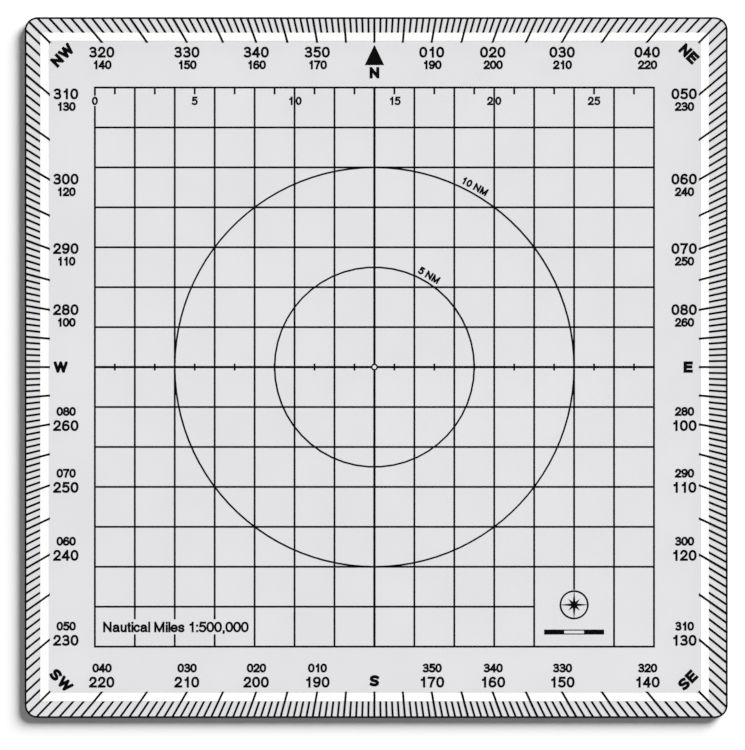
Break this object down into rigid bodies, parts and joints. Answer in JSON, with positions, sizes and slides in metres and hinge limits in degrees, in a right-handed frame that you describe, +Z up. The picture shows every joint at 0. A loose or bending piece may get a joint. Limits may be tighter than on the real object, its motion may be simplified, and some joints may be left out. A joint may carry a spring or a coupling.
{
  "type": "square navigation plotter",
  "caption": "Flat clear square chart plotter with a bearing scale round its edge and a nautical-mile grid with range rings.",
  "frame": {"origin": "middle of the sheet's underside", "axes": "+X towards the printed east edge, +Y towards the printed north edge, +Z up through the thickness, out of the printed face"},
  "size_m": [0.1304, 0.13, 0.0016],
  "materials": {
    "clear_plastic": "frosted clear, satin faces",
    "white_ink": "screen-printed, matte",
    "black_ink": "screen-printed, satin"
  },
  "bodies": {
    "root": {"bar_scale": "black_ink", "clear_sheet": "clear_plastic", "compass_star": "black_ink", "degree_scale": "black_ink", "graticule": "black_ink", "letter_east": "black_ink", "letter_north": "black_ink", "letter_south": "black_ink", "letter_west": "black_ink", "north_arrow": "black_ink", "northeast_e": "black_ink", "northeast_n": "black_ink", "northwest_n": "black_ink", "northwest_w": "black_ink", "ring_10_label_0": "black_ink", "ring_10_label_1": "black_ink", "ring_10_label_m": "black_ink", "ring_10_label_n": "black_ink", "ring_5_label_5": "black_ink", "ring_5_label_m": "black_ink", "ring_5_label_n": "black_ink", "scale_0_figure_1": "black_ink", "scale_10_figure_1": "black_ink", "scale_10_figure_2": "black_ink", "scale_15_figure_1": "black_ink", "scale_15_figure_2": "black_ink", "scale_20_figure_1": "black_ink", "scale_20_figure_2": "black_ink", "scale_25_figure_1": "black_ink", "scale_25_figure_2": "black_ink", "scale_5_figure_1": "black_ink", "southeast_e": "black_ink", "southeast_s": "black_ink", "southwest_s": "black_ink", "southwest_w": "black_ink", "white_band": "white_ink"}
  },
  "joints": []
}
